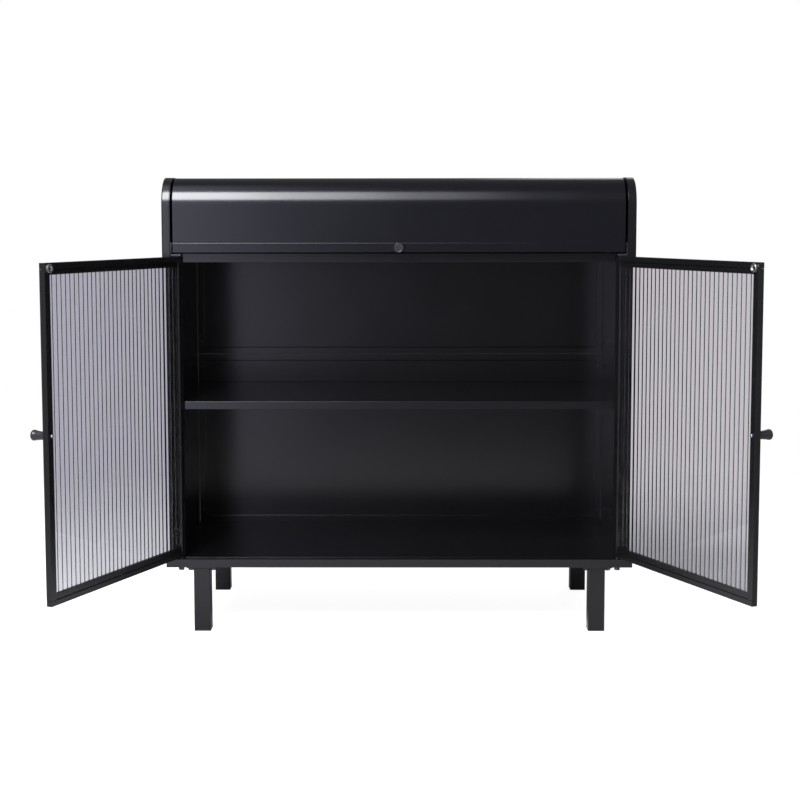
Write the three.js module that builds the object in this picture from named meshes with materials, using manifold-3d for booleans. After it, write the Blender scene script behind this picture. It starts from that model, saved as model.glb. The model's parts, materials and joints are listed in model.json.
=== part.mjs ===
// A free-standing steel media cabinet: a bull-nosed lift-up lid over two shelved bays, closed by a pair of
// pivot-hung doors of fluted glass. Millimetres, +Z up, +Y to the back. The origin is on the floor, in the
// middle of the width, in the plane of the side panels' front rims. The doors stand open and the lid is shut.
import * as THREE from "three";
import { mergeVertices } from "three/addons/utils/BufferGeometryUtils.js";
import Module from "manifold-3d";

const wasm = await Module();
wasm.setup();

// ---------- driving dimensions ----------
const WIDTH = 900;
const DEPTH = 380;
const HEIGHT = 878; // floor to the top of the side panels
const SHEET = 1.2; // folded steel sheet
const LID_SHEET = 1.5;
const FIT = 0.3; // between pieces that touch
const SIDE_THICKNESS = 16.2; // side panel with its inner wall
const NOSE_RADIUS = 54; // rounded top front of the side panels

const LEG_HEIGHT = 128; // floor to the underside of the base
const LEG_WIDTH = 32;
const LEG_WALL = 2;
const LEG_PLATE = 60;
const LEG_PLATE_THICKNESS = 2.7;
const LEG_PLATE_GAP = 2.5; // leg plate to the washer of the pivot bolt beside it
const LEG_FACE_INSET = 10; // front or back of the base to the face of a leg
const GLIDE_THICKNESS = 2.7;
const GLIDE_PLUG = 11;

const BASE_HEIGHT = 15.5;
const BASE_FLANGE = 30;
const FLOOR_SETBACK = 14; // floor panel behind the front lip of the base
const SHELF_FRONT_GAP = 0.6; // shelf and deck behind the doors' hinge edges and magnets
const SHELF_HEIGHT = 15;
const SHELF_TOP = 304; // above the floor panel
const DECK_HEIGHT = 17;
const LID_FRONT_HEIGHT = 142; // bottom edge of the lid to the top of the side panels
const LID_GAP = 2.4; // deck to the bottom edge of the lid

const BACK_BAND = 14; // raised edge of each back panel
const BACK_BAND_DEPTH = 5.2;
const BACK_INSET = 8.5; // back face of the panels in from the back of the cabinet

const CLIP_LENGTH = 16;
const CLIP_REACH = 12.5;
const CLIP_THICKNESS = 1.7;
const CLIP_DROP = 14;
const CLIP_INSET = 60; // from the front and back edges of the shelf

const LID_SIDE_GAP = 4.8;
const LID_SETBACK = 1.2; // lid face behind the side rims, and below them on top
const LID_STRIP = 18; // thicker strip along the bottom edge
const LID_RETURN = 30; // folded edges of the lid
const LID_HINGE_INSET = 31; // hinge line in from the back
const LID_SEAM = 3; // between the lid and the rail behind it
const HINGE_RADIUS = 2.4;
const HINGE_PIN_RADIUS = 1.2;
const HINGE_LEAF = 12;
const HINGE_LEAF_THICKNESS = 1;
const HINGE_END_INSET = 12;
const HINGE_KNUCKLES = 9;
const REAR_RAIL_DROP = 26;
const BUMPER_RADIUS = 5;

const DOOR_THICKNESS = 11;
const DOOR_SETBACK = 1.5;
const DOOR_EDGE_GAP = 3.8; // hinge edge to the inner wall
const DOOR_MEETING_GAP = 3;
const DOOR_BOTTOM_GAP = 4.5; // above the base
const DOOR_TOP_GAP = 8; // below the lid
const PIVOT_INSET = 8.5; // pivot from the hinge edge of the door
const STILE_WIDTH = 14;
const RAIL_HEIGHT = 10;
const BEAD_HEIGHT = 10;
const BEAD_THICKNESS = 2;
const GLASS_THICKNESS = 4.6;
const GLASS_REED_RISE = 1.5;
const GLASS_REED_PITCH = 12.7;
const GLASS_HOLD = 1.7; // glass held in each stile
const DOOR_LIP = 2.2; // metal left in front of the glass

const PIN_RADIUS = 2.5;
const PIN_ROOF = 1; // metal left in the rail past the end of the pivot's bore
const BUSH_WALL = 1.2;
const BUSH_FLANGE = 1;
const BUSH_FLANGE_THICKNESS = 0.8;
const BOLT_RADIUS = 3;
const BOLT_HEAD_ACROSS = 10;
const BOLT_HEAD_HEIGHT = 4;
const WASHER_RADIUS = 6;
const WASHER_THICKNESS = 1.3;
const BRACKET_THICKNESS = 3;
const BRACKET_TAB = 1.7;
const BRACKET_TAB_HEIGHT = 22;
const BRACKET_HALF_DEPTH = 5.5;

const KNOB_LENGTH = 27;
const KNOB_HEAD_RADIUS = 9.5;
const KNOB_NECK_RADIUS = 6.8;
const KNOB_SCREW_GAP = 0.8; // screw to the edge of the glass
const SCREW_RADIUS = 1.5;
const SCREW_HEAD_RADIUS = 3;
const SCREW_HEAD_HEIGHT = 2;
const SCREW_REACH = 14; // thread inside the knob
const MAGNET_RADIUS = 7.6;
const MAGNET_THICKNESS = 4.6;
const MAGNET_HOLE_RADIUS = 2;
const MAGNET_EDGE_INSET = 10;
const MAGNET_DROP = 9.5; // below the top of the door

const LEFT_DOOR_OPEN = 113.4; // degrees from closed
const RIGHT_DOOR_OPEN = 115.4;

// ---------- sizes that follow ----------
const halfWidth = WIDTH / 2;
const wallInside = halfWidth - SIDE_THICKNESS;
const bayHalf = wallInside - FIT; // pieces that span between the inner walls
const baseTop = LEG_HEIGHT + BASE_HEIGHT;
const sideBottom = baseTop + FIT;
const floorTop = sideBottom + SHEET;
const lidBottom = HEIGHT - LID_FRONT_HEIGHT;
const deckTop = lidBottom - LID_GAP;
const shelfTop = floorTop + SHELF_TOP;
const backRear = DEPTH - BACK_INSET;
const backFront = backRear - BACK_BAND_DEPTH;
const insideBack = backFront - FIT; // back edge of the floor, shelf and deck
const noseCentreZ = HEIGHT - NOSE_RADIUS;
const lidTop = HEIGHT - LID_SETBACK;
const lidHalf = wallInside - LID_SIDE_GAP;
const hingeY = DEPTH - LID_HINGE_INSET;
const leafBottom = lidTop + FIT;
const hingeZ = leafBottom + HINGE_RADIUS;
const lidRear = hingeY - LID_SEAM / 2;
const railFront = hingeY + LID_SEAM / 2;
const stripMiddle = lidBottom + LID_STRIP / 2;

const doorHinge = wallInside - DOOR_EDGE_GAP; // closed hinge edge, from the middle of the cabinet
const doorWidth = doorHinge - DOOR_MEETING_GAP / 2;
const pivotX = doorHinge - PIVOT_INSET;
const pivotY = DOOR_SETBACK + DOOR_THICKNESS / 2;
const doorBottom = baseTop + DOOR_BOTTOM_GAP;
const doorTop = lidBottom - DOOR_TOP_GAP;
const glassBottom = doorBottom + RAIL_HEIGHT + FIT;
const glassTop = doorTop - RAIL_HEIGHT - FIT;
const doorMiddle = (doorBottom + doorTop) / 2;
const pinDepth = RAIL_HEIGHT - PIN_ROOF;
const bushRadius = PIN_RADIUS + FIT + BUSH_WALL;
const hingeEdgeSweep = pivotY + Math.hypot(PIVOT_INSET, DOOR_THICKNESS / 2);
const magnetBack = DOOR_SETBACK + DOOR_THICKNESS + FIT + MAGNET_THICKNESS;
const shelfFront = Math.max(hingeEdgeSweep, magnetBack) + SHELF_FRONT_GAP;
const legX = pivotX - WASHER_RADIUS - LEG_PLATE_GAP - LEG_PLATE / 2;

// ---------- materials ----------
const material = (color, roughness, metalness) => new THREE.MeshStandardMaterial({ color, roughness, metalness });
const blackSteel = () => material(0x232429, 0.38, 0.25);
const blackFrame = () => material(0x1c1c20, 0.42, 0.25);
const blackKnob = () => material(0x2b2b2f, 0.3, 0.3);
const zincSteel = () => material(0xb4b6b8, 0.35, 0.9);
const blackZinc = () => material(0x2a2a2c, 0.45, 0.8);
const blackPlastic = () => material(0x151515, 0.6, 0);
const nickel = () => material(0xc6c7c9, 0.25, 1);
const flutedGlass = () => {
  const glass = material(0xdfe6ea, 0.08, 0);
  glass.transparent = true;
  glass.opacity = 0.4;
  return glass;
};

// ---------- shape helpers ----------
const cabinet = new THREE.Group();

function addPiece(parent, name, geometry, finish) {
  const mesh = new THREE.Mesh(geometry, finish);
  mesh.name = name;
  parent.add(mesh);
  return mesh;
}

function block(x0, x1, y0, y1, z0, z1) {
  const geometry = new THREE.BoxGeometry(x1 - x0, y1 - y0, z1 - z0);
  return geometry.translate((x0 + x1) / 2, (y0 + y1) / 2, (z0 + z1) / 2);
}

// A solid of revolution about +Z from pairs of radius and height.
function turned(profile, segments = 24) {
  const points = profile.map(([radius, height]) => new THREE.Vector2(radius, height));
  return new THREE.LatheGeometry(points, segments).rotateX(Math.PI / 2);
}

function rod(radius, z0, z1, segments = 24) {
  return turned([[0, z0], [radius, z0], [radius, z1], [0, z1]], segments);
}

// Turns what points along +Z to point along -Y.
const towardFront = (geometry) => geometry.rotateX(Math.PI / 2);

// An outline in the plane of Y and Z, drawn out along X.
function drawnAlongX(outline, x0, x1, curveSegments = 16) {
  const options = { depth: x1 - x0, bevelEnabled: false, curveSegments };
  const turn = new THREE.Matrix4().makeBasis(
    new THREE.Vector3(0, 1, 0),
    new THREE.Vector3(0, 0, 1),
    new THREE.Vector3(1, 0, 0),
  );
  return new THREE.ExtrudeGeometry(outline, options).applyMatrix4(turn).translate(x0, 0, 0);
}

function solidOf(geometry) {
  const bare = geometry.index ? geometry.toNonIndexed() : geometry.clone();
  bare.deleteAttribute("normal");
  bare.deleteAttribute("uv");
  const merged = mergeVertices(bare, 1e-4);
  const vertProperties = merged.attributes.position.array;
  const triVerts = new Uint32Array(merged.index.array);
  return new wasm.Manifold(new wasm.Mesh({ numProp: 3, vertProperties, triVerts }));
}

function geometryOf(solid) {
  const mesh = solid.getMesh();
  const geometry = new THREE.BufferGeometry();
  geometry.setAttribute("position", new THREE.BufferAttribute(new Float32Array(mesh.vertProperties), 3));
  geometry.setIndex(new THREE.BufferAttribute(new Uint32Array(mesh.triVerts), 1));
  return geometry.toNonIndexed();
}

// Joins the first list of shapes and cuts away the second.
function built(joined, cut = []) {
  let solid = solidOf(joined[0]);
  joined.slice(1).forEach((shape) => (solid = solid.add(solidOf(shape))));
  cut.forEach((shape) => (solid = solid.subtract(solidOf(shape))));
  return geometryOf(solid);
}

// A sheet tray folded down all round, open underneath.
function foldedTray(x0, x1, y0, y1, z0, z1) {
  const inside = block(x0 + SHEET, x1 - SHEET, y0 + SHEET, y1 - SHEET, z0 - 1, z1 - SHEET);
  return built([block(x0, x1, y0, y1, z0, z1)], [inside]);
}

const sides = [
  ["left", -1],
  ["right", 1],
];
const ends = ["front", "rear"];

// ---------- side panels ----------
// Each side is a folded pan whose rim follows the rounded top front, closed by a flat inner wall.
function sideOutline(inset) {
  const outline = new THREE.Shape();
  outline.moveTo(inset, sideBottom + inset);
  outline.lineTo(DEPTH - inset, sideBottom + inset);
  outline.lineTo(DEPTH - inset, HEIGHT - inset);
  outline.lineTo(NOSE_RADIUS, HEIGHT - inset);
  outline.absarc(NOSE_RADIUS, noseCentreZ, NOSE_RADIUS - inset, Math.PI / 2, Math.PI, false);
  outline.closePath();
  return outline;
}

sides.forEach(([side, sign]) => {
  const between = (near, far) => (sign < 0 ? [-far, -near] : [near, far]);
  const panOpen = wallInside + SHEET + FIT;
  const pan = drawnAlongX(sideOutline(0), ...between(panOpen, halfWidth));
  const hollow = drawnAlongX(sideOutline(SHEET), ...between(panOpen - 1, halfWidth - SHEET));
  addPiece(cabinet, `${side}_side_panel`, built([pan], [hollow]), blackSteel());
  const wall = drawnAlongX(sideOutline(0), ...between(wallInside, wallInside + SHEET));
  addPiece(cabinet, `${side}_inner_wall`, wall, blackSteel());
});

// ---------- base, floor, deck and shelf ----------
const boltHoles = sides.map(([, sign]) =>
  rod(BOLT_RADIUS + FIT, LEG_HEIGHT - 1, baseTop + 1).translate(sign * pivotX, pivotY, 0),
);
const baseShell = block(-halfWidth, halfWidth, 0, DEPTH, LEG_HEIGHT, baseTop);
const baseInside = block(
  -halfWidth + SHEET,
  halfWidth - SHEET,
  SHEET,
  DEPTH - SHEET,
  LEG_HEIGHT + SHEET,
  baseTop - SHEET,
);
const baseOpening = block(
  -halfWidth + BASE_FLANGE,
  halfWidth - BASE_FLANGE,
  BASE_FLANGE,
  DEPTH - BASE_FLANGE,
  baseTop - 2 * SHEET,
  baseTop + 1,
);
addPiece(cabinet, "base_tray", built([baseShell], [baseInside, baseOpening, ...boltHoles]), blackSteel());

const floorPanel = block(-bayHalf, bayHalf, FLOOR_SETBACK, insideBack, sideBottom, floorTop);
addPiece(cabinet, "floor_panel", floorPanel, blackSteel());

const shelf = foldedTray(-bayHalf, bayHalf, shelfFront, insideBack, shelfTop - SHELF_HEIGHT, shelfTop);
addPiece(cabinet, "shelf", shelf, blackSteel());

const deck = foldedTray(-bayHalf, bayHalf, shelfFront, insideBack, deckTop - DECK_HEIGHT, deckTop);
addPiece(cabinet, "deck_panel", deck, blackSteel());

// Angle clips fixed to the inner walls carry the shelf's folded ends.
sides.forEach(([side, sign]) => {
  ends.forEach((end) => {
    const edge = end === "front" ? shelfFront + CLIP_INSET : insideBack - CLIP_INSET;
    const top = shelfTop - SHELF_HEIGHT - FIT;
    const y0 = edge - CLIP_LENGTH / 2;
    const y1 = edge + CLIP_LENGTH / 2;
    const tongue = block(bayHalf - CLIP_REACH, bayHalf, y0, y1, top - CLIP_THICKNESS, top);
    const upright = block(bayHalf - CLIP_THICKNESS, bayHalf, y0, y1, top - CLIP_DROP, top);
    const clip = addPiece(cabinet, `shelf_clip_${side}_${end}`, built([tongue, upright]), blackZinc());
    clip.scale.x = sign;
  });
});

// ---------- back ----------
// Two back panels, one above the other, each with a raised band round its edge.
const backTop = lidTop - SHEET - FIT;
const backMiddle = (sideBottom + backTop) / 2;
function backPanel(z0, z1) {
  const band = block(-bayHalf, bayHalf, backFront, backRear, z0, z1);
  const field = block(
    -bayHalf + BACK_BAND,
    bayHalf - BACK_BAND,
    backFront - 1,
    backRear - SHEET,
    z0 + BACK_BAND,
    z1 - BACK_BAND,
  );
  return built([band], [field]);
}
addPiece(cabinet, "lower_back_panel", backPanel(sideBottom, backMiddle - FIT / 2), blackSteel());
addPiece(cabinet, "upper_back_panel", backPanel(backMiddle + FIT / 2, backTop), blackSteel());

// The rail behind the lid, folded down over the back panel.
const railTop = block(-bayHalf, bayHalf, railFront, backRear + FIT + SHEET, lidTop - SHEET, lidTop);
const railDrop = block(
  -bayHalf,
  bayHalf,
  backRear + FIT,
  backRear + FIT + SHEET,
  lidTop - REAR_RAIL_DROP,
  lidTop,
);
addPiece(cabinet, "rear_top_rail", built([railTop, railDrop]), blackSteel());

// ---------- legs ----------
// A square tube welded to a plate that bolts under the base, with a plastic glide pushed into its foot.
const plateTop = LEG_HEIGHT - FIT;
const tubeBottom = GLIDE_THICKNESS + FIT;
sides.forEach(([side, sign]) => {
  ends.forEach((end) => {
    const front = end === "front";
    const legY = front ? LEG_FACE_INSET + LEG_WIDTH / 2 : DEPTH - LEG_FACE_INSET - LEG_WIDTH / 2;
    const plateEdge = LEG_FACE_INSET / 2;
    const plateY0 = front ? plateEdge : DEPTH - plateEdge - LEG_PLATE;
    const half = LEG_WIDTH / 2;
    const bore = half - LEG_WALL;
    const tube = block(-half, half, legY - half, legY + half, tubeBottom, plateTop - LEG_PLATE_THICKNESS);
    const plate = block(
      -LEG_PLATE / 2,
      LEG_PLATE / 2,
      plateY0,
      plateY0 + LEG_PLATE,
      plateTop - LEG_PLATE_THICKNESS,
      plateTop,
    );
    const inside = block(-bore, bore, legY - bore, legY + bore, 0, plateTop - LEG_PLATE_THICKNESS);
    const leg = addPiece(cabinet, `leg_${end}_${side}`, built([tube, plate], [inside]), blackSteel());
    leg.position.x = sign * legX;

    const plug = bore - FIT;
    const foot = block(-half, half, legY - half, legY + half, 0, GLIDE_THICKNESS);
    const stem = block(-plug, plug, legY - plug, legY + plug, 0, GLIDE_THICKNESS + GLIDE_PLUG);
    const glide = addPiece(cabinet, `foot_glide_${end}_${side}`, built([foot, stem]), blackPlastic());
    glide.position.x = sign * legX;
  });
});

// ---------- door pivots on the cabinet ----------
const pinTop = doorBottom + pinDepth - FIT;
const pinBottom = doorTop - pinDepth + FIT;
const shoulder = doorBottom - BUSH_FLANGE_THICKNESS - 2 * FIT;
const washerTop = LEG_HEIGHT - FIT;
const washerBottom = washerTop - WASHER_THICKNESS;
const headBottom = washerBottom - BOLT_HEAD_HEIGHT;
const bracketBottom = doorTop + BUSH_FLANGE_THICKNESS + 2 * FIT;
const bracketTop = bracketBottom + BRACKET_THICKNESS;

// The lower pivot is a shouldered hex bolt pushed up through the base.
function pivotBolt() {
  const head = rod(BOLT_HEAD_ACROSS / Math.sqrt(3), headBottom, washerBottom + FIT, 6);
  const shank = turned(
    [
      [0, washerBottom],
      [WASHER_RADIUS, washerBottom],
      [WASHER_RADIUS, washerTop],
      [BOLT_RADIUS, washerTop],
      [BOLT_RADIUS, shoulder],
      [PIN_RADIUS, shoulder],
      [PIN_RADIUS, pinTop],
      [0, pinTop],
    ],
  );
  return built([head, shank]);
}

// The upper pivot is a bracket on the inner wall with a pin that points down.
function pivotBracket() {
  const reach = bayHalf - pivotX;
  const y0 = -BRACKET_HALF_DEPTH;
  const y1 = BRACKET_HALF_DEPTH;
  const plate = block(-PIN_RADIUS - 4, reach, y0, y1, bracketBottom, bracketTop);
  const tab = block(reach - BRACKET_TAB, reach, y0, y1, bracketBottom, bracketTop + BRACKET_TAB_HEIGHT);
  return built([plate, tab, rod(PIN_RADIUS, pinBottom, bracketTop - FIT)]);
}

sides.forEach(([side, sign]) => {
  const bolt = addPiece(cabinet, `${side}_lower_pivot_bolt`, pivotBolt(), blackZinc());
  bolt.position.set(sign * pivotX, pivotY, 0);
  const bracket = addPiece(cabinet, `${side}_upper_pivot_bracket`, pivotBracket(), blackZinc());
  bracket.position.set(sign * pivotX, pivotY, 0);
  bracket.scale.x = sign;
});

// ---------- knobs ----------
// A flared knob with a blind hole for its screw, its base at zero and its head along +Z.
function knob() {
  const hole = SCREW_RADIUS + FIT;
  return turned(
    [
      [hole, 0],
      [KNOB_NECK_RADIUS + 0.6, 0],
      [KNOB_NECK_RADIUS, 2],
      [KNOB_NECK_RADIUS + 0.4, 0.35 * KNOB_LENGTH],
      [KNOB_HEAD_RADIUS - 1, 0.7 * KNOB_LENGTH],
      [KNOB_HEAD_RADIUS, 0.86 * KNOB_LENGTH],
      [KNOB_HEAD_RADIUS, KNOB_LENGTH - 1.2],
      [KNOB_HEAD_RADIUS - 1.2, KNOB_LENGTH],
      [0, KNOB_LENGTH],
      [0, SCREW_REACH + 1],
      [hole, SCREW_REACH + 1],
      [hole, 0],
    ],
    28,
  );
}

// A pan-head screw with its head below zero: it passes through a wall and into the knob.
function knobScrew(wall) {
  return turned(
    [
      [0, -SCREW_HEAD_HEIGHT],
      [SCREW_HEAD_RADIUS - 0.8, -SCREW_HEAD_HEIGHT],
      [SCREW_HEAD_RADIUS, -SCREW_HEAD_HEIGHT + 0.8],
      [SCREW_HEAD_RADIUS, 0],
      [SCREW_RADIUS, 0],
      [SCREW_RADIUS, wall + SCREW_REACH],
      [0, wall + SCREW_REACH],
    ],
    16,
  );
}

// ---------- lid ----------
const lid = new THREE.Group();
lid.name = "lid";
cabinet.add(lid);

// The lid's outer line runs up the thick bottom strip, up the face, round the nose and back along the top.
function lidBand(outer, inner, endInset, strip) {
  const radius = NOSE_RADIUS - LID_SETBACK;
  const stripTop = lidBottom + LID_STRIP;
  const outline = new THREE.Shape();
  outline.moveTo(LID_SETBACK + inner, lidBottom + endInset);
  outline.lineTo(LID_SETBACK + inner, noseCentreZ);
  outline.absarc(NOSE_RADIUS, noseCentreZ, radius - inner, Math.PI, Math.PI / 2, true);
  outline.lineTo(lidRear - endInset, lidTop - inner);
  outline.lineTo(lidRear - endInset, lidTop - outer);
  outline.lineTo(NOSE_RADIUS, lidTop - outer);
  outline.absarc(NOSE_RADIUS, noseCentreZ, radius - outer, Math.PI / 2, Math.PI, false);
  if (strip) {
    outline.lineTo(LID_SETBACK, stripTop);
    outline.absarc(LID_SETBACK, stripTop - LID_SETBACK, LID_SETBACK, Math.PI / 2, Math.PI, false);
    outline.lineTo(0, lidBottom);
  } else {
    outline.lineTo(LID_SETBACK + outer, lidBottom + endInset);
  }
  outline.closePath();
  return outline;
}

const lidSkin = drawnAlongX(lidBand(0, LID_RETURN, 0, true), -lidHalf, lidHalf);
const lidHollow = drawnAlongX(
  lidBand(LID_SHEET, LID_RETURN + 1, LID_SHEET, false),
  -lidHalf + LID_SHEET,
  lidHalf - LID_SHEET,
);
const lidKnobHole = towardFront(rod(SCREW_RADIUS + FIT, -LID_SETBACK - 2 * LID_SHEET, 1, 16));
lidKnobHole.translate(0, 0, stripMiddle);
addPiece(lid, "lid_panel", built([lidSkin], [lidHollow, lidKnobHole]), blackSteel());

const lidKnob = addPiece(lid, "lid_knob", towardFront(knob()), blackKnob());
lidKnob.position.set(0, -FIT, stripMiddle);
const lidWall = LID_SETBACK + LID_SHEET + 2 * FIT;
const lidScrew = addPiece(lid, "lid_knob_screw", towardFront(knobScrew(lidWall)), zincSteel());
lidScrew.position.set(0, lidWall - FIT, stripMiddle);

sides.forEach(([side, sign]) => {
  const pad = rod(BUMPER_RADIUS, deckTop + FIT, lidBottom - FIT);
  const bumper = addPiece(lid, `lid_bumper_${side}`, pad, blackPlastic());
  bumper.position.set(sign * (lidHalf - LID_RETURN), (shelfFront + LID_RETURN) / 2, 0);
});

// ---------- piano hinge ----------
const hingeHalf = lidHalf - HINGE_END_INSET;
const knucklePitch = (2 * hingeHalf) / HINGE_KNUCKLES;
function hingeLeaf(direction, firstKnuckle) {
  const near = HINGE_RADIUS + FIT;
  const alongY = (a, b) => [Math.min(direction * a, direction * b), Math.max(direction * a, direction * b)];
  const bottom = -HINGE_RADIUS;
  const top = bottom + HINGE_LEAF_THICKNESS;
  const pieces = [block(-hingeHalf, hingeHalf, ...alongY(near, near + HINGE_LEAF), bottom, top)];
  for (let i = firstKnuckle; i < HINGE_KNUCKLES; i += 2) {
    const x0 = -hingeHalf + i * knucklePitch + FIT / 2;
    const x1 = x0 + knucklePitch - FIT;
    pieces.push(block(x0, x1, ...alongY(0, near + 1), bottom, top));
    pieces.push(rod(HINGE_RADIUS, x0, x1, 12).rotateY(Math.PI / 2));
  }
  const bore = rod(HINGE_PIN_RADIUS + FIT, -halfWidth, halfWidth, 12).rotateY(Math.PI / 2);
  return built(pieces, [bore]);
}

const fixedLeaf = addPiece(cabinet, "lid_hinge_fixed_leaf", hingeLeaf(1, 0), blackSteel());
fixedLeaf.position.set(0, hingeY, hingeZ);
const movingLeaf = addPiece(lid, "lid_hinge_moving_leaf", hingeLeaf(-1, 1), blackSteel());
movingLeaf.position.set(0, hingeY, hingeZ);
const hingePin = rod(HINGE_PIN_RADIUS, -hingeHalf, hingeHalf, 12).rotateY(Math.PI / 2);
addPiece(cabinet, "lid_hinge_pin", hingePin, zincSteel()).position.set(0, hingeY, hingeZ);

// ---------- doors ----------
// A door is drawn closed, with X from its hinge edge to its free edge and Y from its outer face inward.
const glassY0 = DOOR_LIP + FIT;
const glassY1 = glassY0 + GLASS_THICKNESS;
const beadX0 = STILE_WIDTH + FIT;
const beadX1 = doorWidth - STILE_WIDTH - FIT;

// The glass has one smooth face and one of rounded reeds.
function flutedPane() {
  const x0 = STILE_WIDTH - GLASS_HOLD;
  const x1 = doorWidth - STILE_WIDTH + GLASS_HOLD;
  const reeds = Math.round((x1 - x0) / GLASS_REED_PITCH);
  const pitch = (x1 - x0) / reeds;
  const reedRadius = ((pitch / 2) ** 2 + GLASS_REED_RISE ** 2) / (2 * GLASS_REED_RISE);
  const sweep = Math.asin(pitch / 2 / reedRadius);
  const outline = new THREE.Shape();
  outline.moveTo(x0, glassY1);
  outline.lineTo(x0, glassY0 + GLASS_REED_RISE);
  for (let i = 0; i < reeds; i += 1) {
    const centreX = x0 + (i + 0.5) * pitch;
    const start = -Math.PI / 2 - sweep;
    outline.absarc(centreX, glassY0 + reedRadius, reedRadius, start, start + 2 * sweep, false);
  }
  outline.lineTo(x1, glassY1);
  outline.closePath();
  const options = { depth: glassTop - glassBottom, bevelEnabled: false, curveSegments: 4 };
  return new THREE.ExtrudeGeometry(outline, options).translate(0, 0, glassBottom);
}

// A stile is a bar with a groove for the edge of the glass.
function stile(x0, x1, grooveX0, grooveX1, holes = []) {
  const bar = block(x0, x1, 0, DOOR_THICKNESS, glassBottom, glassTop);
  const groove = block(grooveX0, grooveX1, DOOR_LIP, glassY1 + FIT, glassBottom - 1, glassTop + 1);
  return built([bar], [groove, ...holes]);
}

// A rail is a bar across the whole door with a lip in front of the glass and a bore for the bush.
function rail(barZ0, barZ1, lipZ0, lipZ1, boreZ0, boreZ1) {
  const bar = block(0, doorWidth, 0, DOOR_THICKNESS, barZ0, barZ1);
  const lip = block(beadX0, beadX1, 0, DOOR_LIP, lipZ0, lipZ1);
  const bore = rod(bushRadius + FIT, boreZ0, boreZ1);
  return built([bar, lip], [bore.translate(PIVOT_INSET, DOOR_THICKNESS / 2, 0)]);
}

// A flanged bush for a pin that comes from below, its flange under zero.
function pivotBush() {
  const inner = PIN_RADIUS + FIT;
  return turned([
    [inner, -BUSH_FLANGE_THICKNESS],
    [bushRadius + BUSH_FLANGE, -BUSH_FLANGE_THICKNESS],
    [bushRadius + BUSH_FLANGE, 0],
    [bushRadius, 0],
    [bushRadius, pinDepth - FIT],
    [inner, pinDepth - FIT],
    [inner, -BUSH_FLANGE_THICKNESS],
  ]);
}

function addDoor(side, sign, openAngle) {
  const door = new THREE.Group();
  door.name = `${side}_door`;
  door.position.set(sign * pivotX, pivotY, 0);
  door.rotation.z = THREE.MathUtils.degToRad(sign * openAngle);
  door.scale.x = -sign;
  cabinet.add(door);
  const add = (piece, geometry, finish) => {
    const mesh = addPiece(door, `${side}_door_${piece}`, geometry, finish);
    mesh.position.set(-PIVOT_INSET, -DOOR_THICKNESS / 2, 0);
    return mesh;
  };

  const knobX = doorWidth - STILE_WIDTH + GLASS_HOLD + KNOB_SCREW_GAP + SCREW_RADIUS;
  const knobHole = towardFront(rod(SCREW_RADIUS + FIT, -DOOR_THICKNESS - 1, 1, 16));
  knobHole.translate(knobX, 0, doorMiddle);
  const freeX = doorWidth - STILE_WIDTH;
  const grip = GLASS_HOLD + FIT;
  add("hinge_stile", stile(0, STILE_WIDTH, STILE_WIDTH - grip, STILE_WIDTH + 1), blackFrame());
  add("free_stile", stile(freeX, doorWidth, freeX - 1, freeX + grip, [knobHole]), blackFrame());

  const topZ = doorTop - RAIL_HEIGHT;
  const bottomZ = doorBottom + RAIL_HEIGHT;
  const topRail = rail(topZ, doorTop, topZ - BEAD_HEIGHT, topZ, doorTop - pinDepth, doorTop + 1);
  const bottomRail = rail(
    doorBottom,
    bottomZ,
    bottomZ,
    bottomZ + BEAD_HEIGHT,
    doorBottom - 1,
    doorBottom + pinDepth,
  );
  add("top_rail", topRail, blackFrame());
  add("bottom_rail", bottomRail, blackFrame());

  const beadY0 = glassY1 + FIT;
  const beadY1 = beadY0 + BEAD_THICKNESS;
  const topBead = block(beadX0, beadX1, beadY0, beadY1, topZ - BEAD_HEIGHT, topZ - FIT);
  const bottomBead = block(beadX0, beadX1, beadY0, beadY1, bottomZ + FIT, bottomZ + BEAD_HEIGHT);
  add("top_glazing_bead", topBead, blackFrame());
  add("bottom_glazing_bead", bottomBead, blackFrame());
  add("glass", flutedPane(), flutedGlass());

  const lowerBush = pivotBush().translate(PIVOT_INSET, DOOR_THICKNESS / 2, doorBottom - FIT);
  const upperBush = pivotBush().rotateX(Math.PI);
  upperBush.translate(PIVOT_INSET, DOOR_THICKNESS / 2, doorTop + FIT);
  add("lower_bush", lowerBush, blackPlastic());
  add("upper_bush", upperBush, blackPlastic());

  add("knob", towardFront(knob()).translate(knobX, -FIT, doorMiddle), blackKnob());
  const wall = DOOR_THICKNESS + 2 * FIT;
  const screw = towardFront(knobScrew(wall)).translate(knobX, DOOR_THICKNESS + FIT, doorMiddle);
  add("knob_screw", screw, zincSteel());

  const magnet = turned([
    [MAGNET_HOLE_RADIUS, 0],
    [MAGNET_RADIUS, 0],
    [MAGNET_RADIUS, MAGNET_THICKNESS],
    [MAGNET_HOLE_RADIUS, MAGNET_THICKNESS],
    [MAGNET_HOLE_RADIUS, 0],
  ]).rotateX(-Math.PI / 2);
  magnet.translate(doorWidth - MAGNET_EDGE_INSET, DOOR_THICKNESS + FIT, doorTop - MAGNET_DROP);
  add("magnet", magnet, nickel());
}

addDoor("left", -1, LEFT_DOOR_OPEN);
addDoor("right", 1, RIGHT_DOOR_OPEN);

export default cabinet;
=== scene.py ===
import json
import math

import bmesh
import bpy
from mathutils import Matrix, Vector


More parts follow.
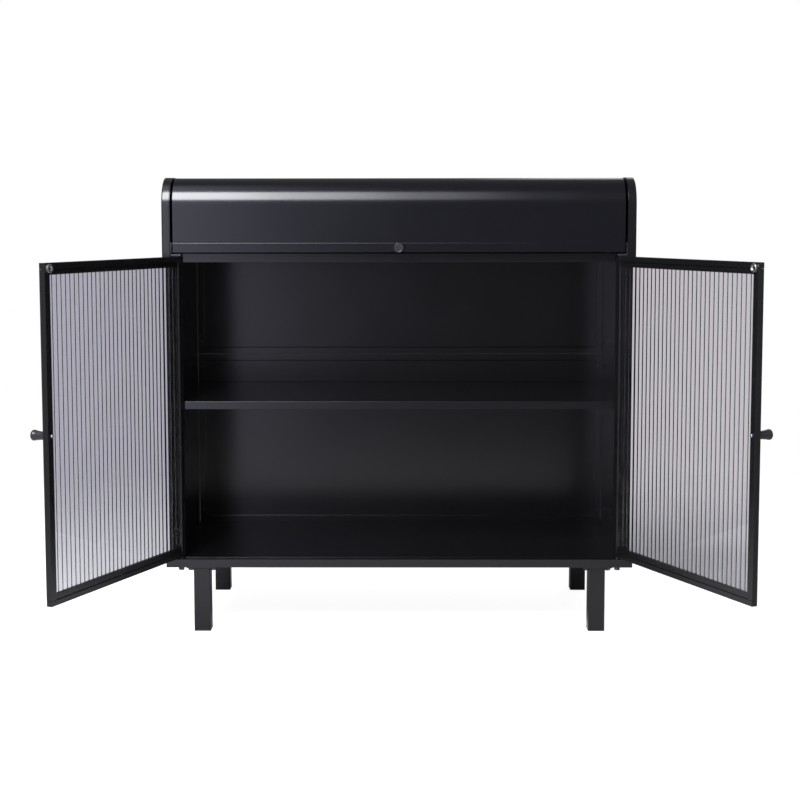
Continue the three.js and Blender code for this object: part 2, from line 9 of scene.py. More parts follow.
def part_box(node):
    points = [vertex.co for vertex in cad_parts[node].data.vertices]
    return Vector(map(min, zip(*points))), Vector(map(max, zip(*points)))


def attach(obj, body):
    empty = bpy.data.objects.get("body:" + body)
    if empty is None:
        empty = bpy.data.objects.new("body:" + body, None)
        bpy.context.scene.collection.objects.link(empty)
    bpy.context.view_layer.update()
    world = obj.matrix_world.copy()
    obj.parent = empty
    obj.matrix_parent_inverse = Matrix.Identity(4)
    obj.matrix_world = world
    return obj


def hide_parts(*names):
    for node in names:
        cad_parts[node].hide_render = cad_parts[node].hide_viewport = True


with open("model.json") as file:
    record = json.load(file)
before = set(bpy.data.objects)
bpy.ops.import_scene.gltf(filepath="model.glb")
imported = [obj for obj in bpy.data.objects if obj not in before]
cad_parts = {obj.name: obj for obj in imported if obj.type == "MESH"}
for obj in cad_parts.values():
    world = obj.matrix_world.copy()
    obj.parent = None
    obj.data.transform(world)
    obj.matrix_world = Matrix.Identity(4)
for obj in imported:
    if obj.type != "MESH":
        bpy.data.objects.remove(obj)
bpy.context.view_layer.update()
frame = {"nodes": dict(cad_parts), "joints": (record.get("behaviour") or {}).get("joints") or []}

nodes = frame["nodes"]

# ---------- side panels ----------
# Each side is a pan folded from 1.2 mm steel, its rim bent to follow the rounded top front, closed by a flat
# inner wall. Both are powder coated satin black: a smooth film with a faint orange peel, slightly cloudy, and
# rubbed a little on the folds.
COAT_BLACK = (0.0046, 0.0046, 0.0054, 1)
COAT_RUBBED = (0.018, 0.018, 0.021, 1)
COAT_ROUGHNESS = 0.20
COAT_SMOOTHEST = 0.93
COAT_DULLEST = 1.08
DEEP_SHARE = 0.7
SHEET = 0.0012
NOSE_RADIUS = 0.054
FOLD_RADIUS = 0.0030
EDGE_BREAK = 0.0003
MERGE_DISTANCE = 0.00001
PEEL_SIZE = 500.0
PEEL_DEPTH = 0.00006
RUB_WIDTH = 0.0012
GENTLE_FOLD = math.radians(32)


def add_node(tree, kind, inputs=None, **settings):
    node = tree.nodes.new(kind)
    for name, value in settings.items():
        setattr(node, name, value)
    for name, value in (inputs or {}).items():
        node.inputs[name].default_value = value
    return node


def add_noise(tree, place, scale, detail=2.0, rough=0.5):
    noise = add_node(tree, "ShaderNodeTexNoise", {"Detail": detail, "Roughness": rough})
    tree.links.new(place, noise.inputs["Vector"])
    if isinstance(scale, float):
        noise.inputs["Scale"].default_value = scale
    else:
        tree.links.new(scale, noise.inputs["Scale"])
    return noise.outputs["Fac"]


def add_range(tree, value, lows, highs):
    """Stretches a value from one range to another, both given as (low, high)."""
    node = add_node(tree, "ShaderNodeMapRange", {"From Min": lows[0], "From Max": lows[1]})
    tree.links.new(value, node.inputs["Value"])
    for name, end in (("To Min", highs[0]), ("To Max", highs[1])):
        if isinstance(end, float):
            node.inputs[name].default_value = end
        else:
            tree.links.new(end, node.inputs[name])
    return node.outputs["Result"]


def add_math(tree, operation, first, second, clamp=False):
    node = add_node(tree, "ShaderNodeMath", operation=operation, use_clamp=clamp)
    for slot, value in zip(node.inputs, (first, second)):
        if isinstance(value, float):
            slot.default_value = value
        else:
            tree.links.new(value, slot)
    return node.outputs["Value"]


def add_mix(tree, share, first, second):
    """Mixes two colours. A Mix node's colour sockets share their names, so they are taken by number."""
    node = add_node(tree, "ShaderNodeMix", data_type="RGBA")
    tree.links.new(share, node.inputs["Factor"])
    for slot, value in ((node.inputs[6], first), (node.inputs[7], second)):
        if isinstance(value, tuple):
            slot.default_value = value
        else:
            tree.links.new(value, slot)
    return node.outputs[2]


def new_group(name, takes, gives):
    """A shader group with named inputs (name, kind, value) and named outputs (name, kind)."""
    tree = bpy.data.node_groups.new(name, "ShaderNodeTree")
    for label, kind, value in takes:
        tree.interface.new_socket(label, in_out="INPUT", socket_type=kind).default_value = value
    for label, kind in gives:
        tree.interface.new_socket(label, in_out="OUTPUT", socket_type=kind)
    start = tree.nodes.new("NodeGroupInput").outputs
    end = tree.nodes.new("NodeGroupOutput").inputs
    return tree, start, end


def make_coat_group():
    tree, start, end = new_group(
        "powder_coat_film",
        (
            ("Coat", "NodeSocketColor", COAT_BLACK),
            ("Deep", "NodeSocketColor", COAT_BLACK),
            ("Rubbed", "NodeSocketColor", COAT_RUBBED),
            ("Smoothest", "NodeSocketFloat", COAT_ROUGHNESS),
            ("Dullest", "NodeSocketFloat", COAT_ROUGHNESS),
            ("Peel Size", "NodeSocketFloat", PEEL_SIZE),
        ),
        (("Color", "NodeSocketColor"), ("Roughness", "NodeSocketFloat"), ("Height", "NodeSocketFloat")),
    )
    place = tree.nodes.new("ShaderNodeTexCoord").outputs["Object"]
    clouds = add_noise(tree, place, 9.0, 4.0, 0.6)
    speckle = add_noise(tree, place, 2600.0, 1.0)
    peel = add_noise(tree, place, start["Peel Size"], 2.0, 0.45)
    cloudy = add_range(tree, clouds, (0.3, 0.7), (0.0, 0.4))
    darker = add_mix(tree, cloudy, start["Coat"], start["Deep"])
    rounded = add_node(tree, "ShaderNodeBevel", {"Radius": RUB_WIDTH}, samples=3)
    facing_way = tree.nodes.new("ShaderNodeNewGeometry").outputs["Normal"]
    agree = add_node(tree, "ShaderNodeVectorMath", operation="DOT_PRODUCT")
    tree.links.new(rounded.outputs["Normal"], agree.inputs[0])
    tree.links.new(facing_way, agree.inputs[1])
    edge = add_range(tree, agree.outputs["Value"], (0.97, 0.80), (0.0, 0.8))
    scuffs = add_range(tree, add_noise(tree, place, 45.0, 5.0, 0.7), (0.45, 0.65), (0.1, 1.0))
    rubbed = add_math(tree, "MULTIPLY", edge, scuffs, clamp=True)
    tree.links.new(add_mix(tree, rubbed, darker, start["Rubbed"]), end["Color"])
    tree.links.new(
        add_range(
            tree,
            add_math(tree, "ADD", clouds, add_range(tree, speckle, (0.3, 0.7), (-0.1, 0.1))),
            (0.3, 0.7),
            (start["Smoothest"], start["Dullest"]),
        ),
        end["Roughness"],
    )
    tree.links.new(peel, end["Height"])
    return tree


coat_group = make_coat_group()


def new_material(name):
    """An empty material whose Principled shader is ready to be linked."""
    material = bpy.data.materials.new(name)
    material.use_nodes = True
    shader = material.node_tree.nodes["Principled BSDF"]
    return material, material.node_tree, shader


def add_bump(tree, shader, height, strength, distance):
    bump = add_node(tree, "ShaderNodeBump", {"Strength": strength, "Distance": distance})
    tree.links.new(height, bump.inputs["Height"])
    tree.links.new(bump.outputs["Normal"], shader.inputs["Normal"])


def coated(name, coat, rubbed, roughness, peel_size, peel_strength):
    """Powder coat or lacquer: its colour, the colour it rubs to, its sheen and its orange peel."""
    material, tree, shader = new_material(name)
    film = add_node(tree, "ShaderNodeGroup", node_tree=coat_group)
    film.inputs["Coat"].default_value = coat
    film.inputs["Deep"].default_value = tuple(DEEP_SHARE * part for part in coat[:3]) + (1,)
    film.inputs["Rubbed"].default_value = rubbed
    film.inputs["Smoothest"].default_value = roughness * COAT_SMOOTHEST
    film.inputs["Dullest"].default_value = roughness * COAT_DULLEST
    film.inputs["Peel Size"].default_value = peel_size
    tree.links.new(film.outputs["Color"], shader.inputs["Base Color"])
    tree.links.new(film.outputs["Roughness"], shader.inputs["Roughness"])
    add_bump(tree, shader, film.outputs["Height"], peel_strength, PEEL_DEPTH)
    return material


cabinet_coat = coated(
    "cabinet_powder_coat", COAT_BLACK, COAT_RUBBED, COAT_ROUGHNESS, PEEL_SIZE, peel_strength=0.05
)


def make_fold_smoother():
    """Shades gentle curves smooth and keeps real corners sharp."""
    tree = bpy.data.node_groups.new("smooth_gentle_folds", "GeometryNodeTree")
    tree.interface.new_socket("Geometry", in_out="INPUT", socket_type="NodeSocketGeometry")
    tree.interface.new_socket("Geometry", in_out="OUTPUT", socket_type="NodeSocketGeometry")
    start = tree.nodes.new("NodeGroupInput").outputs["Geometry"]
    end = tree.nodes.new("NodeGroupOutput").inputs["Geometry"]
    angle = tree.nodes.new("GeometryNodeInputMeshEdgeAngle").outputs["Unsigned Angle"]
    gentle = add_node(tree, "FunctionNodeCompare", operation="LESS_THAN")
    gentle.inputs[1].default_value = GENTLE_FOLD
    tree.links.new(angle, gentle.inputs[0])
    faces = add_node(tree, "GeometryNodeSetShadeSmooth", domain="FACE")
    edges = add_node(tree, "GeometryNodeSetShadeSmooth", domain="EDGE")
    tree.links.new(start, faces.inputs["Geometry"])
    tree.links.new(faces.outputs["Geometry"], edges.inputs["Geometry"])
    tree.links.new(gentle.outputs["Result"], edges.inputs["Shade Smooth"])
    tree.links.new(edges.outputs["Geometry"], end)
    return tree


fold_smoother = make_fold_smoother()


def soften_edges(obj, width, steps=3):
    """Rounds a piece's corners by width, as a bend or a broken edge does, and shades them."""
    weld = obj.modifiers.new("weld", "WELD")
    weld.merge_threshold = MERGE_DISTANCE
    flats = obj.modifiers.new("flats", "DECIMATE")
    flats.decimate_type = "DISSOLVE"
    flats.angle_limit = math.radians(0.5)
    bevel = obj.modifiers.new("bend", "BEVEL")
    bevel.width = width
    bevel.segments = steps
    bevel.limit_method = "ANGLE"
    bevel.angle_limit = math.radians(35)
    bevel.miter_outer = "MITER_ARC"
    smooth = obj.modifiers.new("smooth", "NODES")
    smooth.node_group = fold_smoother
    weighted = obj.modifiers.new("weighted", "WEIGHTED_NORMAL")
    weighted.keep_sharp = True


def finish_node(name, material, width):
    """Gives a carried-over node its finish and its softened edges."""
    obj = nodes[name]
    obj.data.materials.clear()
    obj.data.materials.append(material)
    soften_edges(obj, width)


def stack(mesh, layers, closed_loop=False, place=Matrix.Identity(4)):
    """Skins a stack of flat outlines, each (points, height), and caps its ends unless it closes on itself."""
    rings = [[mesh.verts.new(place @ Vector((x, y, z))) for x, y in points] for points, z in layers]
    pairs = list(zip(rings, rings[1:]))
    if closed_loop:
        pairs.append((rings[-1], rings[0]))
    for lower, upper in pairs:
        count = len(lower)
        for step in range(count):
            after = (step + 1) % count
            mesh.faces.new((lower[step], lower[after], upper[after], upper[step]))
    if not closed_loop:
        mesh.faces.new(reversed(rings[0]))
        mesh.faces.new(rings[-1])


def make_piece(name, mesh, material, body, replaced=(), smooth=32):
    """Turns finished mesh data into a piece that rides on a body."""
    bmesh.ops.recalc_face_normals(mesh, faces=mesh.faces)
    for face in mesh.faces:
        face.smooth = True
    for edge in mesh.edges:
        edge.smooth = len(edge.link_faces) == 2 and edge.calc_face_angle() < math.radians(smooth)
    data = bpy.data.meshes.new(name)
    mesh.to_mesh(data)
    mesh.free()
    data.materials.append(material)
    obj = bpy.data.objects.new(name, data)
    bpy.context.scene.collection.objects.link(obj)
    obj.modifiers.new("weighted", "WEIGHTED_NORMAL").keep_sharp = True
    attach(obj, body)
    if replaced:
        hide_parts(*replaced)
    return obj


def side_outline(low, high, inset, steps=28):
    """The side panel's outline, moved in from its rim: up the front, round the nose and down the back."""
    radius = NOSE_RADIUS - inset
    points = [(low.y + inset, low.z + inset)]
    for step in range(steps + 1):
        turn = math.pi - math.pi / 2 * step / steps
        y = low.y + NOSE_RADIUS + radius * math.cos(turn)
        points.append((y, high.z - NOSE_RADIUS + radius * math.sin(turn)))
    return points + [(high.y - inset, high.z - inset), (high.y - inset, low.z + inset)]


def folded_edge(depth, radius, inset=0.0, steps=6):
    """(inset, height) along a rounded fold that ends level with depth."""
    turns = [math.pi / 2 * step / steps for step in range(steps + 1)]
    return [
        (inset + radius * (1 - math.cos(turn)), depth - radius + radius * math.sin(turn)) for turn in turns
    ]


SIDES = (("left", -1), ("right", 1))
for side, sign in SIDES:
    low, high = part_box(f"{side}_side_panel")
    depth = high.x - low.x
    inside = folded_edge(depth - SHEET, FOLD_RADIUS - SHEET, SHEET)
    outside = folded_edge(depth, FOLD_RADIUS)
    line = inside[::-1] + [(SHEET, 0.0), (EDGE_BREAK, 0.0), (0.0, EDGE_BREAK)] + outside
    inner_x = low.x if sign > 0 else high.x
    across = Matrix(((0, 0, sign, inner_x), (1, 0, 0, 0), (0, 1, 0, 0), (0, 0, 0, 1)))
    mesh = bmesh.new()
    stack(mesh, [(side_outline(low, high, inset), height) for inset, height in line], place=across)
    panel = f"{side}_side_panel"
    make_piece(f"{side}_side_pan", mesh, cabinet_coat, "carcass", (panel,))
    finish_node(f"{side}_inner_wall", cabinet_coat, width=0.0003)

# ---------- base, floor, shelf and deck ----------
# Four steel pieces lie across the cabinet: the folded base under everything, the flat floor of the lower
# bay, the folded shelf, and the folded deck under the lid. All are coated with the side panels.
SHEET_FOLD = 0.0006
for tray in ("base_tray", "shelf", "deck_panel"):
    finish_node(tray, cabinet_coat, SHEET_FOLD)
finish_node("floor_panel", cabinet_coat, width=0.0003)

# ---------- shelf clips ----------
# Small angle clips hold the shelf's side flanges to the inner walls. They are bent from steel strip and black
# zinc plated.
PLATE_BLACK = (0.030, 0.030, 0.033, 1)
PLATE_WORN = (0.14, 0.14, 0.15, 1)
PLATE_SMOOTHEST = 0.75
PLATE_DULLEST = 1.3


def plated(name, bright, dull, roughness, metallic):
    """Barrel-plated steel: a fine mottled grain with duller stains."""
    material, tree, shader = new_material(name)
    place = tree.nodes.new("ShaderNodeTexCoord").outputs["Object"]
    grain = add_noise(tree, place, 1500.0, 3.0, 0.6)
    stains = add_noise(tree, place, 160.0, 4.0, 0.65)
    stained = add_range(tree, stains, (0.35, 0.68), (0.0, 1.0))
    tree.links.new(add_mix(tree, stained, bright, dull), shader.inputs["Base Color"])
    sheen = (roughness * PLATE_SMOOTHEST, roughness * PLATE_DULLEST)
    tree.links.new(add_range(tree, grain, (0.3, 0.7), sheen), shader.inputs["Roughness"])
    shader.inputs["Metallic"].default_value = metallic
    add_bump(tree, shader, grain, 0.25, 0.00003)
    return material


black_plate = plated("black_zinc_plate", PLATE_BLACK, PLATE_WORN, roughness=0.38, metallic=0.85)
for side, _ in SIDES:
    for end in ("front", "rear"):
        finish_node(f"shelf_clip_{side}_{end}", black_plate, width=0.0003)

# ---------- back panels ----------
# Two sheets with a raised band pressed round their edges, and a folded rail behind the lid. Small zinc plated
# pan-head screws hold each panel through its band, and black ones show in the bays' corners.
ZINC_BRIGHT = (0.60, 0.61, 0.62, 1)
ZINC_DULL = (0.34, 0.35, 0.37, 1)
BACK_SCREW_RADIUS = 0.0028
BACK_SCREW_HEAD = 0.0014
BACK_SCREW_INSET = 0.007
BACK_SCREW_PITCH = 0.17
BACK_SCREW_SLOT = 0.0009
CORNER_SCREW_RISE = 0.02
BAND_BEND = 0.0010
CROSS_WAIST = 0.30

for panel in ("lower_back_panel", "upper_back_panel"):
    finish_node(panel, cabinet_coat, BAND_BEND)
finish_node("rear_top_rail", cabinet_coat, width=0.0005)
zinc = plated("bright_zinc_plate", ZINC_BRIGHT, ZINC_DULL, roughness=0.3, metallic=1.0)


def lathe(mesh, profile, place, steps=48, recess=None):
    """Turns a profile of (radius, height) round Z. It starts and ends on the axis, or closes on itself.
    Rings from the index recess onwards take the shape of a cross slot."""
    rings = []
    for index, (radius, height) in enumerate(profile):
        if radius < MERGE_DISTANCE:
            rings.append([mesh.verts.new(place @ Vector((0, 0, height)))])
            continue
        ring = []
        for step in range(steps):
            turn = 2 * math.pi * step / steps
            reach = radius
            if recess is not None and recess <= index:
                reach *= CROSS_WAIST + (1 - CROSS_WAIST) * abs(math.cos(2 * turn)) ** 5
            point = Vector((reach * math.cos(turn), reach * math.sin(turn), height))
            ring.append(mesh.verts.new(place @ point))
        rings.append(ring)
    closes = len(rings[0]) > 1
    pairs = list(zip(rings, rings[1:] + rings[:1])) if closes else list(zip(rings, rings[1:]))
    for lower, upper in pairs:
        for step in range(steps):
            after = (step + 1) % steps
            corners = [
                lower[step % len(lower)],
                lower[after % len(lower)],
                upper[after % len(upper)],
                upper[step % len(upper)],
            ]
            corners = list(dict.fromkeys(corners))
            if len(corners) > 2:
                mesh.faces.new(corners)


def pan_head(radius, height, depth):
    """Profile of a domed screw head with a cross recess, from its seat to the bottom of the slot."""
    return [
        (0, 0),
        (radius, 0),
        (radius, height * 0.35),
        (radius * 0.93, height * 0.70),
        (radius * 0.78, height * 0.92),
        (radius * 0.62, height),
        (radius * 0.52, height),
        (radius * 0.40, height - depth),
        (0, height - depth),
    ]


RECESS_START = 6  # the first point of a pan head's profile that belongs to its slot


def facing(point, direction):
    """Places something turned round Z at a point, with its head towards direction."""
    return Matrix.Translation(point) @ Vector(direction).to_track_quat("Z", "Y").to_matrix().to_4x4()


def panel_screws(panel):
    low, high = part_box(panel)
    mesh = bmesh.new()
    left, right = low.x + BACK_SCREW_INSET, high.x - BACK_SCREW_INSET
    bottom, top = low.z + BACK_SCREW_INSET, high.z - BACK_SCREW_INSET
    across = round((right - left) / BACK_SCREW_PITCH)
    spots = [(left + (right - left) * i / across, z) for i in range(across + 1) for z in (bottom, top)]
    spots += [(x, (bottom + top) / 2) for x in (left, right)]
    head = pan_head(BACK_SCREW_RADIUS, BACK_SCREW_HEAD, BACK_SCREW_SLOT)
    for x, z in spots:
        lathe(mesh, head, facing((x, high.y, z), (0, 1, 0)), 24, RECESS_START)
    make_piece(f"{panel}_screws", mesh, zinc, "carcass")
    mesh = bmesh.new()
    for x in (left, right):
        for z in (bottom + CORNER_SCREW_RISE, top - CORNER_SCREW_RISE):
            lathe(mesh, head, facing((x, low.y, z), (0, -1, 0)), 24, RECESS_START)
    make_piece(f"{panel}_corner_screws", mesh, black_plate, "carcass")


panel_screws("lower_back_panel")
panel_screws("upper_back_panel")

# ---------- legs ----------
# Each leg is 32 mm square tube with rounded corners, welded to a plate. Four hex bolts hold the plate under
# the base, and a black nylon glide closes the foot.
TUBE_WIDTH = 0.032
TUBE_WALL = 0.002
TUBE_CORNER = 0.0022
LEG_PLATE_THICKNESS = 0.0027
PLATE_CORNER = 0.006
CUT_EDGE = 0.0004
WASHER_THICKNESS = 0.0012
WELD_RADIUS = 0.0016
WELD_STEPS = 8
BOLT_INSET = 0.009
BOLT_FLATS = 0.0100
BOLT_HEAD = 0.0036
NYLON_BLACK = (0.012, 0.012, 0.013, 1)
NYLON_DUSTY = (0.035, 0.034, 0.033, 1)


def rounded_square(centre, half, radius, steps=6):
    """Points round a square with rounded corners, in a level plane."""
    points = []
    for quarter in range(4):
        start = quarter * math.pi / 2
        sign_x = 1 if quarter in (0, 3) else -1
        sign_y = 1 if quarter in (0, 1) else -1
        for step in range(steps + 1):
            turn = start + math.pi / 2 * step / steps
            points.append(
                (
                    centre[0] + sign_x * (half - radius) + radius * math.cos(turn),
                    centre[1] + sign_y * (half - radius) + radius * math.sin(turn),
                )
            )
    return points


def hex_bolt(mesh, point, flats, head):
    """A hex head that hangs under a plate, its corners turned off and a washer above it."""
    washer = flats * 0.62
    disc = [(0, -WASHER_THICKNESS), (washer, -WASHER_THICKNESS), (washer, 0), (0, 0)]
    lathe(mesh, disc, Matrix.Translation(point), 32)
    layers = []
    bottom = -head - WASHER_THICKNESS
    for grow, z in ((0.88, bottom), (1.0, bottom + WASHER_THICKNESS / 2), (1.0, -WASHER_THICKNESS)):
        reach = flats / math.sqrt(3) * grow
        corners = [(math.cos(math.pi / 3 * i), math.sin(math.pi / 3 * i)) for i in range(6)]
        layers.append(([(point.x + reach * x, point.y + reach * y) for x, y in corners], point.z + z))
    stack(mesh, layers)


nylon = coated("black_nylon", NYLON_BLACK, NYLON_DUSTY, roughness=0.55, peel_size=1200.0, peel_strength=0.3)
for side, _ in SIDES:
    for end in ("front", "rear"):
        name = f"leg_{end}_{side}"
        low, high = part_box(name)
        glide_low, glide_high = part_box(f"foot_glide_{end}_{side}")
        centre = ((glide_low.x + glide_high.x) / 2, (glide_low.y + glide_high.y) / 2)
        half = TUBE_WIDTH / 2
        plate_bottom = high.z - LEG_PLATE_THICKNESS
        mesh = bmesh.new()
        outer = rounded_square(centre, half, TUBE_CORNER)
        edge = rounded_square(centre, half - CUT_EDGE, TUBE_CORNER - CUT_EDGE / 2)
        inner = rounded_square(centre, half - TUBE_WALL, TUBE_CORNER - TUBE_WALL / 2)
        stack(
            mesh,
            [
                (edge, low.z),
                (outer, low.z + CUT_EDGE),
                (outer, plate_bottom),
                (inner, plate_bottom),
                (inner, low.z),
            ],
            closed_loop=True,
        )
        middle = ((low.x + high.x) / 2, (low.y + high.y) / 2)
        plate_half = (high.x - low.x) / 2
        rim = rounded_square(middle, plate_half, PLATE_CORNER)
        broken = rounded_square(middle, plate_half - CUT_EDGE, PLATE_CORNER)
        stack(
            mesh,
            [
                (broken, plate_bottom),
                (rim, plate_bottom + CUT_EDGE),
                (rim, high.z - CUT_EDGE),
                (broken, high.z),
            ],
        )
        weld_layers = []
        for step in range(WELD_STEPS):
            turn = 2 * math.pi * step / WELD_STEPS
            ring = rounded_square(centre, half + WELD_RADIUS * math.cos(turn), TUBE_CORNER)
            weld_layers.append((ring, plate_bottom - CUT_EDGE + WELD_RADIUS * math.sin(turn)))
        stack(mesh, weld_layers, closed_loop=True)
        make_piece(f"{name}_tube", mesh, cabinet_coat, "carcass", (name,))

        mesh = bmesh.new()
        for x in (low.x + BOLT_INSET, high.x - BOLT_INSET):
            for y in (low.y + BOLT_INSET, high.y - BOLT_INSET):
                hex_bolt(mesh, Vector((x, y, plate_bottom)), BOLT_FLATS, BOLT_HEAD)
        make_piece(f"{name}_bolts", mesh, black_plate, "carcass")
        finish_node(f"foot_glide_{end}_{side}", nylon, width=0.0006)

# ---------- door pivots on the cabinet ----------
# A shouldered hex bolt through the base is the lower pin of each door. A bracket on the inner wall, with a
# pin pressed into it, is the upper one. Both are black zinc plated.
for side, _ in SIDES:
    finish_node(f"{side}_lower_pivot_bolt", black_plate, width=0.0003)
    finish_node(f"{side}_upper_pivot_bracket", black_plate, width=0.0004)

# ---------- lid ----------
# One sheet of 1.5 mm steel rolled into a bull nose, with a thicker strip along its bottom edge and returns
# folded inward. Its powder coat is a little darker, bluer and smoother than the cabinet's.
LID_BLACK = (0.0024, 0.0026, 0.0042, 1)
lid_coat = coated(
    "lid_powder_coat", LID_BLACK, COAT_RUBBED, roughness=0.19, peel_size=420.0, peel_strength=0.035
)
finish_node("lid_panel", lid_coat, width=0.0007)
for side, _ in SIDES:
    finish_node(f"lid_bumper_{side}", nylon, width=0.0006)

# ---------- lid knob ----------
# A flared knob turned from steel bar and lacquered black. A zinc plated pan-head screw holds it from inside
# the lid.
KNOB_BLACK = (0.022, 0.022, 0.024, 1)
KNOB_RUBBED = (0.05, 0.05, 0.055, 1)
KNOB_NECK = 0.0068
KNOB_HEAD = 0.0092
KNOB_SCREW_RADIUS = 0.0030
KNOB_SCREW_HEAD = 0.0020
KNOB_SCREW_SLOT = 0.0012
knob_lacquer = coated(
    "black_knob_lacquer", KNOB_BLACK, KNOB_RUBBED, roughness=0.24, peel_size=1600.0, peel_strength=0.06
)


def round_corners(points, radius, steps=4):
    """Rounds the inner corners of an open line of points."""
    result = [points[0]]
    for before, corner, after in zip(points, points[1:], points[2:]):
        here, back, on = Vector(corner), Vector(before) - Vector(corner), Vector(after) - Vector(corner)
        reach = min(radius, back.length * 0.45, on.length * 0.45)
        first, last = here + back.normalized() * reach, here + on.normalized() * reach
        for step in range(steps + 1):
            share = step / steps
            point = first.lerp(here, share).lerp(here.lerp(last, share), share)
            result.append((point.x, point.y))
    result.append(points[-1])
    return result


def knob_profile(low_radius, head_radius, length):
    return round_corners(
        [
            (0, 0),
            (low_radius + 0.0006, 0),
            (low_radius, 0.0020),
            (low_radius + 0.0004, 0.35 * length),
            (head_radius - 0.0010, 0.70 * length),
            (head_radius, 0.86 * length),
            (head_radius, length - 0.0012),
            (head_radius - 0.0012, length),
            (head_radius * 0.80, length),
            (head_radius * 0.72, length - 0.0003),
            (0, length - 0.0003),
        ],
        0.0008,
    )


def add_knob(name, node, place, length, body):
    """A knob with its base at the origin of place and its head along +Z."""
    mesh = bmesh.new()
    lathe(mesh, knob_profile(KNOB_NECK, KNOB_HEAD, length), place, 64)
    make_piece(name, mesh, knob_lacquer, body, (node,))


def add_knob_screw(name, screw, seat, direction, body):
    """The pan head that shows on the inner face, seated at a point."""
    mesh = bmesh.new()
    head = pan_head(KNOB_SCREW_RADIUS, KNOB_SCREW_HEAD, KNOB_SCREW_SLOT)
    lathe(mesh, head, facing(seat, direction), 48, RECESS_START)
    make_piece(name, mesh, zinc, body, (screw,))


knob_low, knob_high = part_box("lid_knob")
knob_x, knob_z = (knob_low.x + knob_high.x) / 2, (knob_low.z + knob_high.z) / 2
knob_length = knob_high.y - knob_low.y
knob_place = facing((knob_x, knob_high.y, knob_z), (0, -1, 0))
add_knob("lid_knob_turned", "lid_knob", knob_place, knob_length, "lid")
screw_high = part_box("lid_knob_screw")[1]
add_knob_screw(
    "lid_knob_pan_head", "lid_knob_screw", (knob_x, screw_high.y - KNOB_SCREW_HEAD, knob_z), (0, 1, 0), "lid"
)

# ---------- piano hinge ----------
# Two thin leaves rolled into alternate knuckles round a zinc plated pin. One leaf is fixed to the rail, and
# the other to the lid.
finish_node("lid_hinge_fixed_leaf", cabinet_coat, width=0.0002)
finish_node("lid_hinge_moving_leaf", cabinet_coat, width=0.0002)
finish_node("lid_hinge_pin", zinc, width=0.0002)

# ---------- door frames ----------
# Each door is a thin frame of 11 mm black bar: two grooved stiles between two rails that run right across,
# with strips inside that hold the glass. It is powder coated a shade more matt than the cabinet.
DOOR_BLACK = (0.0060, 0.0060, 0.0066, 1)
door_coat = coated(
    "door_powder_coat", DOOR_BLACK, COAT_RUBBED, roughness=0.26, peel_size=600.0, peel_strength=0.06
)
for side, _ in SIDES:
    for bar in ("hinge_stile", "free_stile", "top_rail", "bottom_rail"):
        finish_node(f"{side}_door_{bar}", door_coat, width=0.0007)
    for strip in ("top_glazing_bead", "bottom_glazing_bead"):
        finish_node(f"{side}_door_{strip}", door_coat, width=0.0003)
    for bush in ("lower_bush", "upper_bush"):
        finish_node(f"{side}_door_{bush}", nylon, width=0.0002)

# ---------- door glass ----------
# Clear pressed glass with shallow upright reeds on the outer face and a smooth inner face. The rolls leave
# it very slightly wavy, and the lowest stretch keeps a haze from the setting compound.
DOOR_THICKNESS = 0.011
PIVOT_INSET = 0.0085
DOOR_WIDTH = 0.4285
STILE_WIDTH = 0.014
GLASS_HOLD = 0.0017
GLASS_FRONT = 0.0025
GLASS_BACK = 0.0071
REED_PITCH = 0.0127
REED_RISE = 0.00095
REED_STEPS = 14
GLASS_TINT = (0.985, 0.990, 1.0, 1)
GLASS_HAZE = (0.93, 0.93, 0.95, 1)
HAZE_TOP = 0.060
HAZE_FULL = 0.008
joints = {joint["name"]: joint for joint in frame["joints"]}


def door_place(side, sign):
    """From a closed door's own axes (X to the free edge, Y inward) to where the door stands open."""
    hinge = joints[f"{side}_door_hinge"]
    pivot = Vector((hinge["pos_m"][0], hinge["pos_m"][1], 0))
    opened = math.radians(-hinge["range_deg"][0])
    turn = Matrix.Rotation(sign * opened, 4, "Z") @ Matrix.Diagonal((-sign, 1, 1, 1))
    return Matrix.Translation(pivot) @ turn @ Matrix.Translation((-PIVOT_INSET, -DOOR_THICKNESS / 2, 0))


def make_glass():
    material, tree, shader = new_material("fluted_glass")
    place = tree.nodes.new("ShaderNodeTexCoord").outputs["Object"]
    waves = add_noise(tree, place, 22.0, 2.0)
    height = tree.nodes.new("ShaderNodeSeparateXYZ")
    tree.links.new(place, height.inputs["Vector"])
    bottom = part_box("left_door_glass")[0].z
    haze = add_range(tree, height.outputs["Z"], (bottom + HAZE_TOP, bottom + HAZE_FULL), (0.0, 1.0))
    tree.links.new(add_mix(tree, haze, GLASS_TINT, GLASS_HAZE), shader.inputs["Base Color"])
    clear = add_range(tree, waves, (0.3, 0.7), (0.012, 0.035))
    tree.links.new(add_range(tree, haze, (0.0, 1.0), (clear, 0.16)), shader.inputs["Roughness"])
    shader.inputs["Transmission Weight"].default_value = 1.0
    shader.inputs["IOR"].default_value = 1.5
    add_bump(tree, shader, waves, 0.15, 0.0004)
    return material


